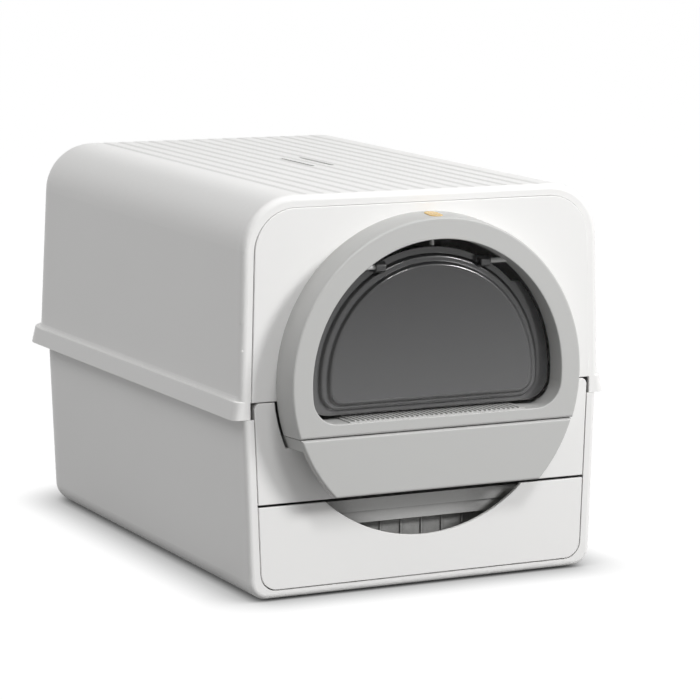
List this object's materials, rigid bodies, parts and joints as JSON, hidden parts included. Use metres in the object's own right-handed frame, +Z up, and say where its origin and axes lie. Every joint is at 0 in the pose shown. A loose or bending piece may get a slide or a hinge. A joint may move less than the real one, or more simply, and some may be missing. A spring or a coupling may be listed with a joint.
{
  "type": "drawer litter box",
  "caption": "Enclosed litter box: a tub base with a litter drawer and a step tray, under a lift-off hood with a round door ring and a see-through swinging flap.",
  "frame": {"origin": "centre of the whole footprint, on the floor", "axes": "+Z up, -Y to the front where the door is, +X to the right seen from the front"},
  "size_m": [0.402, 0.635, 0.397],
  "materials": {
    "white_shell": "satin moulded white",
    "ring_plastic": "fine matt light grey",
    "pan_plastic": "satin light grey",
    "smoke_window": "smoke tinted, see-through",
    "pin_plastic": "satin light grey",
    "amber_plastic": "translucent amber",
    "foot_rubber": "matt black",
    "charcoal_felt": "felted charcoal",
    "screw_steel": "plated"
  },
  "bodies": {
    "base": {"base_shell": "white_shell", "rubber_feet": "foot_rubber"},
    "litter_drawer": {"litter_pan": "pan_plastic", "drawer_front": "white_shell", "drawer_screws": "screw_steel"},
    "step_tray": {"step_tray_front": "white_shell", "chin_grip": "ring_plastic", "chin_screws": "screw_steel", "step_grate": "pan_plastic", "grate_screws": "screw_steel"},
    "hood": {"hood_shell": "white_shell", "hood_front_panel": "white_shell", "hood_panel_screws": "screw_steel", "door_ring": "ring_plastic", "amber_inlay": "amber_plastic", "threshold_strip": "ring_plastic", "ring_retainer": "pan_plastic", "ring_screws": "screw_steel", "deodoriser_holder": "pan_plastic", "charcoal_pad": "charcoal_felt", "deodoriser_cover": "pan_plastic", "holder_screws": "screw_steel"},
    "flap": {"flap_window": "smoke_window", "flap_pin_left": "pin_plastic", "flap_pin_right": "pin_plastic"}
  },
  "joints": [
    {"name": "litter_drawer_slide", "type": "slide", "parent": "base", "child": "litter_drawer", "axis": [0, -1, 0], "range_m": [0, 0.4]},
    {"name": "step_tray_slide", "type": "slide", "parent": "base", "child": "step_tray", "axis": [0, -1, 0], "range_m": [0, 0.14]},
    {"name": "hood_lift", "type": "slide", "parent": "base", "child": "hood", "axis": [0, 0, 1], "range_m": [0, 0.08]},
    {"name": "flap_swing", "type": "hinge", "parent": "hood", "child": "flap", "pos_m": [0, -0.29915, 0.316], "axis": [1, 0, 0], "range_deg": [-25, 80]}
  ]
}
